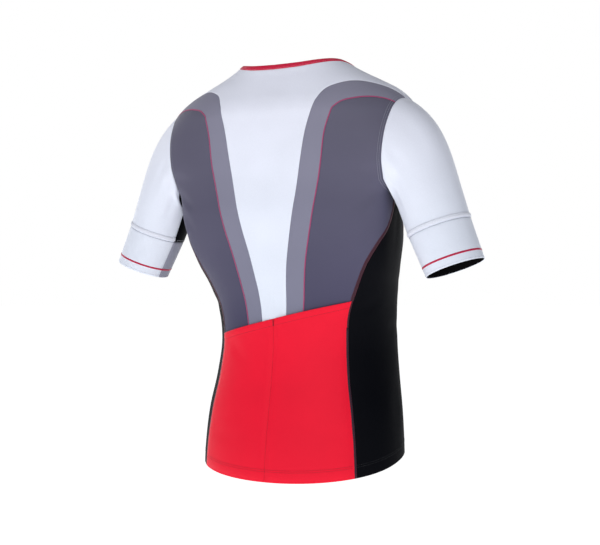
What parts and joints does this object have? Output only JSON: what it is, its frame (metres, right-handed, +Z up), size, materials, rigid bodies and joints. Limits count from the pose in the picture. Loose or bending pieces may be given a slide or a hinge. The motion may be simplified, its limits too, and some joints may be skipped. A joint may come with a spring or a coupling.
{
  "type": "triathlon top",
  "caption": "Short-sleeved triathlon top in its worn hollow form, with curved back panels, side panels, two open-topped back pockets, cuff bands and a bound neck.",
  "frame": {"origin": "middle of the neck hole, level with its two side points, where the wearer's neck passes", "axes": "+Z up the wearer's body, -Y the way the wearer faces, +X the wearer's left"},
  "size_m": [0.7194, 0.222, 0.688],
  "materials": {
    "white_knit": "smooth white stretch knit, satin",
    "light_grey_knit": "smooth light grey stretch knit",
    "dark_grey_knit": "smooth slate grey stretch knit",
    "black_knit": "smooth black stretch knit",
    "red_knit": "smooth red stretch knit",
    "red_binding": "folded red binding",
    "red_stripe": "thin red trim stripe"
  },
  "bodies": {
    "root": {"back_centre": "white_knit", "back_lower": "white_knit", "front_panel": "white_knit", "back_band_left": "light_grey_knit", "back_band_right": "light_grey_knit", "back_side_left": "dark_grey_knit", "back_side_right": "dark_grey_knit", "side_panel_left": "black_knit", "side_panel_right": "black_knit", "pocket_left": "red_knit", "pocket_right": "red_knit", "neck_binding": "red_binding", "sleeve_left": "white_knit", "sleeve_right": "white_knit", "sleeve_underarm_left": "black_knit", "sleeve_underarm_right": "black_knit", "cuff_left": "white_knit", "cuff_right": "white_knit", "cuff_underarm_left": "light_grey_knit", "cuff_underarm_right": "light_grey_knit", "cuff_stripe_left": "red_stripe", "cuff_stripe_right": "red_stripe", "band_welt_left": "white_knit", "band_welt_right": "white_knit"}
  },
  "joints": []
}
